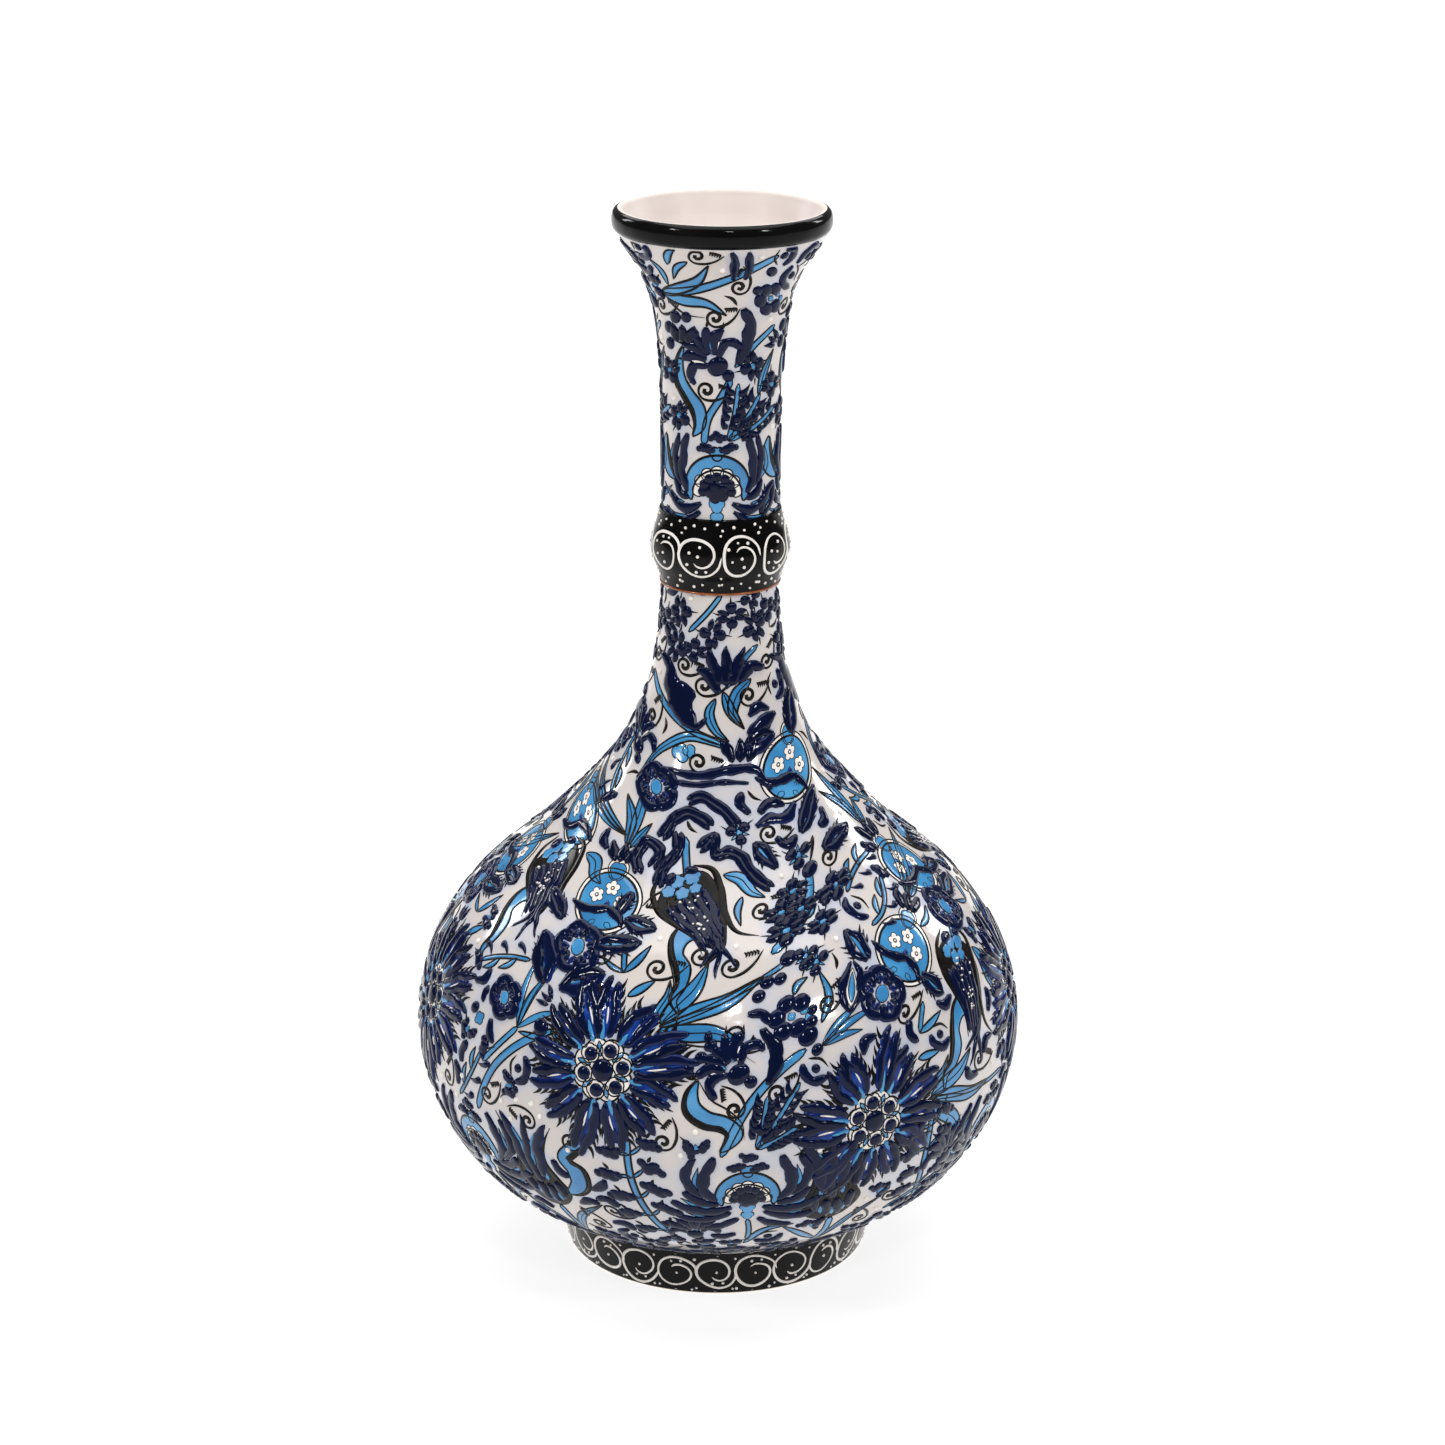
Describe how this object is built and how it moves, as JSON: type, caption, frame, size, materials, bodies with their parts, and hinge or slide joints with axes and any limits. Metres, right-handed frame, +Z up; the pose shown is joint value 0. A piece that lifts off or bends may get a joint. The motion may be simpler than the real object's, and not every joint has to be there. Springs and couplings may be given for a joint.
{
  "type": "long-necked pottery vase",
  "caption": "Glazed bottle vase with a round belly on a foot ring, a slim neck with a bead collar, a flared mouth and raised painted flowers.",
  "frame": {"origin": "centre of the foot's resting plane", "axes": "+Z up along the vase's turning axis, from the foot to the mouth"},
  "size_m": [0.2266, 0.2266, 0.4],
  "materials": {
    "white_glaze": "glossy warm white glaze over a white body",
    "black_glaze": "glossy near-black glaze",
    "cobalt_enamel": "thick raised dark cobalt enamel, very glossy",
    "light_blue_glaze": "flat painted light blue under a clear glaze",
    "black_line": "thin brush line under a clear glaze",
    "white_slip": "raised trailed white lines and dots, satin to glossy",
    "dried_slip": "matt fired clay"
  },
  "bodies": {
    "root": {"foot_ring": "black_glaze", "lower_bowl": "white_glaze", "upper_bowl": "white_glaze", "lower_neck": "white_glaze", "neck_collar": "black_glaze", "upper_neck": "white_glaze", "mouth_lip": "black_glaze", "slip_joint_foot": "dried_slip", "slip_joint_equator": "dried_slip", "slip_joint_shoulder": "dried_slip", "slip_joint_neck": "dried_slip", "slip_joint_collar": "dried_slip", "slip_joint_lip": "dried_slip"}
  },
  "joints": []
}
